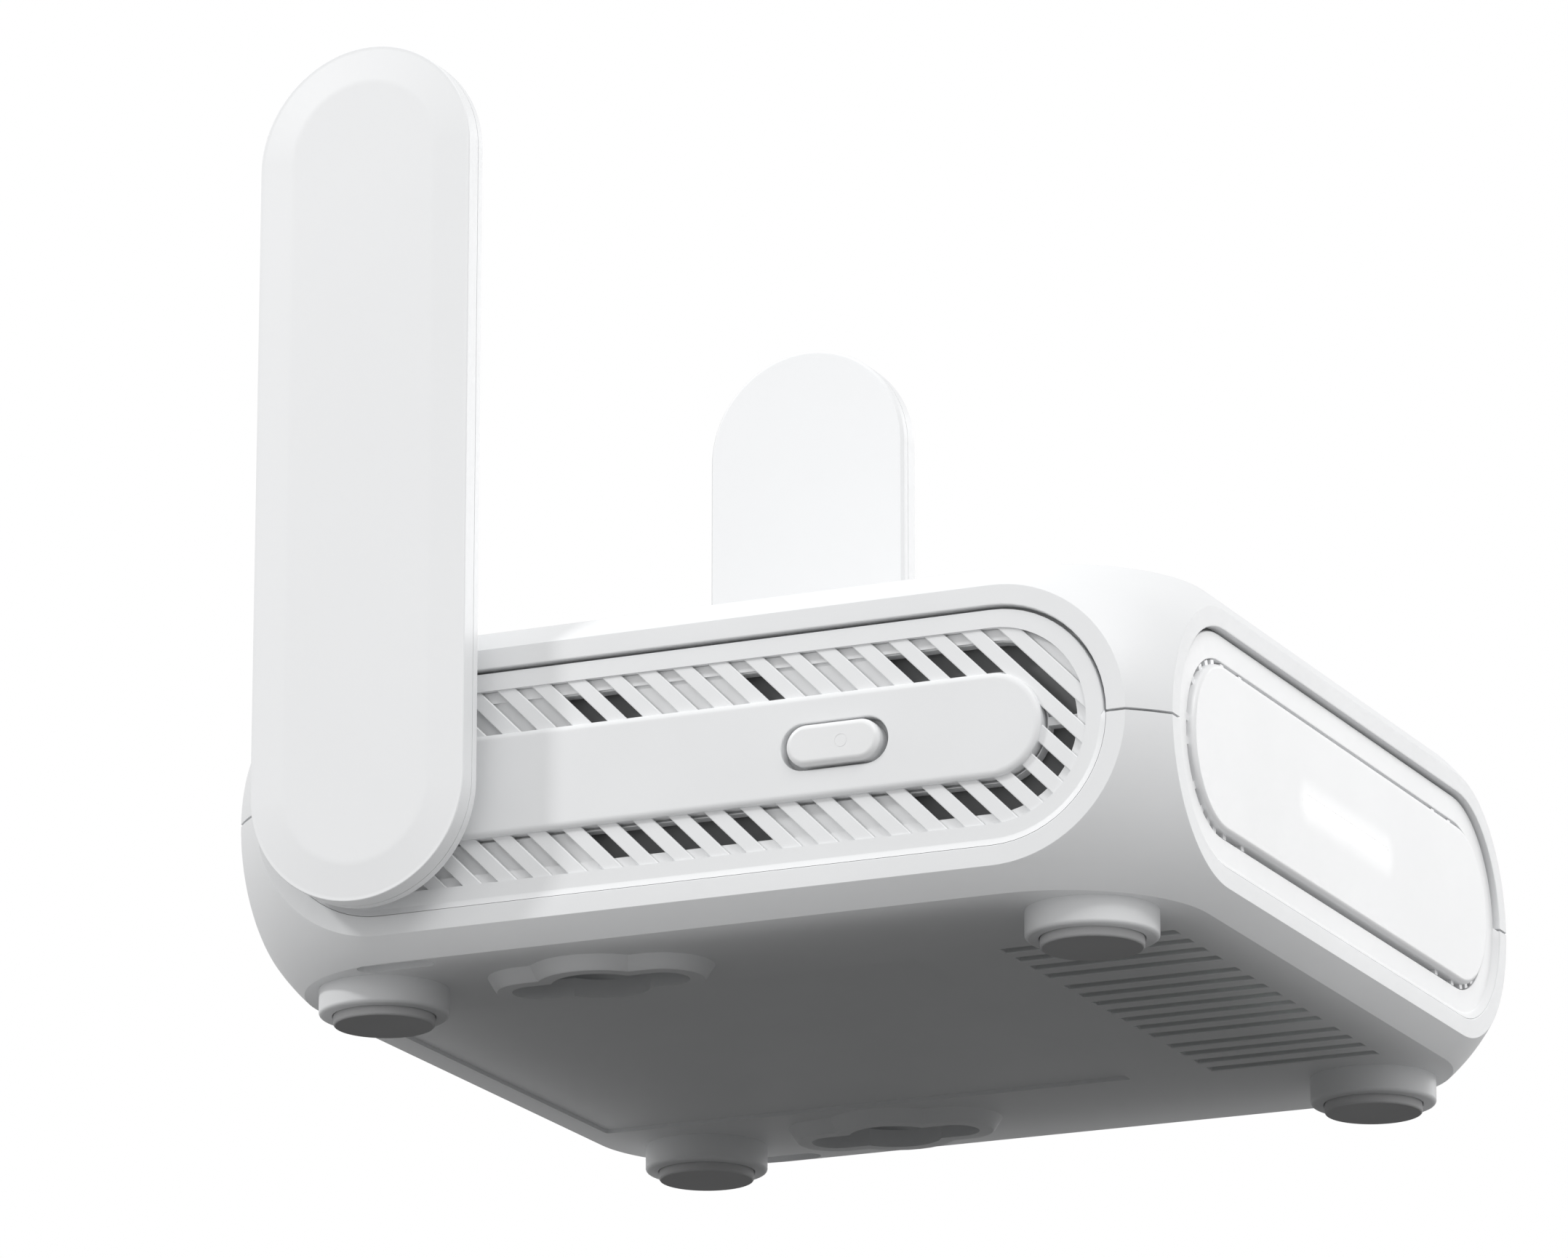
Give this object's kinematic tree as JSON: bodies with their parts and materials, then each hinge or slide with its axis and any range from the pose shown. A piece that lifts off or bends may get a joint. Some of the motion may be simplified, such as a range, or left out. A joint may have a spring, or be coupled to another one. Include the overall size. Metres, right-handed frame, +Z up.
{
  "type": "wireless router",
  "caption": "Compact square wireless router with rounded edges, slotted sides, a front light bar, rear sockets and fold-out paddle antennas on side hinges.",
  "frame": {"origin": "on the standing surface, below the middle of the case", "axes": "+Z up; the front with the light bar faces -Y, the rear sockets face +Y, the mode button is on the -X side; the antennas stand upright at rest"},
  "size_m": [0.1316, 0.118, 0.1143],
  "materials": {
    "case_plastic": "white moulded plastic with a very fine satin texture",
    "antenna_plastic": "white moulded plastic, smooth satin",
    "front_plastic": "white moulded plastic, smooth satin",
    "liner_plastic": "white moulded plastic, plain",
    "button_plastic": "white moulded plastic, satin",
    "light_diffuser": "milky diffuser lit from behind",
    "foot_rubber": "light grey matt rubber",
    "port_plastic": "black moulded plastic",
    "plated_steel": "nickel plated pressed steel",
    "sink_aluminium": "extruded, lightly brushed",
    "board_green": "solder mask over glass fibre",
    "chip_black": "moulded epoxy",
    "pad_silicone": "soft matt silicone",
    "cable_jacket": "thin smooth coaxial jacket"
  },
  "bodies": {
    "case": {"top_cover": "case_plastic", "bottom_cover": "case_plastic", "foot_pad_front_left": "foot_rubber", "foot_pad_front_right": "foot_rubber", "foot_pad_rear_left": "foot_rubber", "foot_pad_rear_right": "foot_rubber", "case_screw_front_left": "plated_steel", "case_screw_front_right": "plated_steel", "case_screw_rear_left": "plated_steel", "case_screw_rear_right": "plated_steel", "left_grille": "case_plastic", "right_grille": "case_plastic", "left_vent_liner": "liner_plastic", "right_vent_liner": "liner_plastic", "front_bezel": "front_plastic", "front_plate": "front_plastic", "light_bar": "light_diffuser", "rear_panel": "case_plastic", "wan_jack": "port_plastic", "lan_jack": "port_plastic", "usb_jack": "plated_steel", "power_jack": "plated_steel", "main_board": "board_green", "processor": "chip_black", "thermal_pad": "pad_silicone", "heat_sink": "sink_aluminium", "memory_chip": "chip_black", "radio_shield": "plated_steel", "status_led": "light_diffuser", "mode_switch": "port_plastic", "reset_switch": "port_plastic", "left_coax_socket": "plated_steel", "right_coax_socket": "plated_steel", "left_coax_lead": "cable_jacket", "right_coax_lead": "cable_jacket"},
    "left_antenna": {"left_antenna_outer_shell": "antenna_plastic", "left_antenna_inner_shell": "antenna_plastic", "left_antenna_radiator": "board_green", "left_antenna_pigtail": "cable_jacket", "left_hinge_hub": "antenna_plastic", "left_hinge_washer": "plated_steel", "left_hinge_clip": "plated_steel"},
    "right_antenna": {"right_antenna_outer_shell": "antenna_plastic", "right_antenna_inner_shell": "antenna_plastic", "right_antenna_radiator": "board_green", "right_antenna_pigtail": "cable_jacket", "right_hinge_hub": "antenna_plastic", "right_hinge_washer": "plated_steel", "right_hinge_clip": "plated_steel"},
    "mode_key": {"mode_button": "button_plastic"},
    "reset_key": {"reset_button": "button_plastic"}
  },
  "joints": [
    {"name": "left_antenna_hinge", "type": "hinge", "parent": "case", "child": "left_antenna", "pos_m": [-0.06, 0.0385, 0.02347], "axis": [1, 0, 0], "range_deg": [-90, 90]},
    {"name": "right_antenna_hinge", "type": "hinge", "parent": "case", "child": "right_antenna", "pos_m": [0.06, 0.0385, 0.02347], "axis": [1, 0, 0], "range_deg": [-90, 90]},
    {"name": "mode_button_press", "type": "slide", "parent": "case", "child": "mode_key", "axis": [1, 0, 0], "range_m": [0, 0.0008], "stiffness_N_per_m": 1000, "springref_m": -0.0006},
    {"name": "reset_button_press", "type": "slide", "parent": "case", "child": "reset_key", "axis": [0, -1, 0], "range_m": [0, 0.0008], "stiffness_N_per_m": 1000, "springref_m": -0.0006}
  ]
}
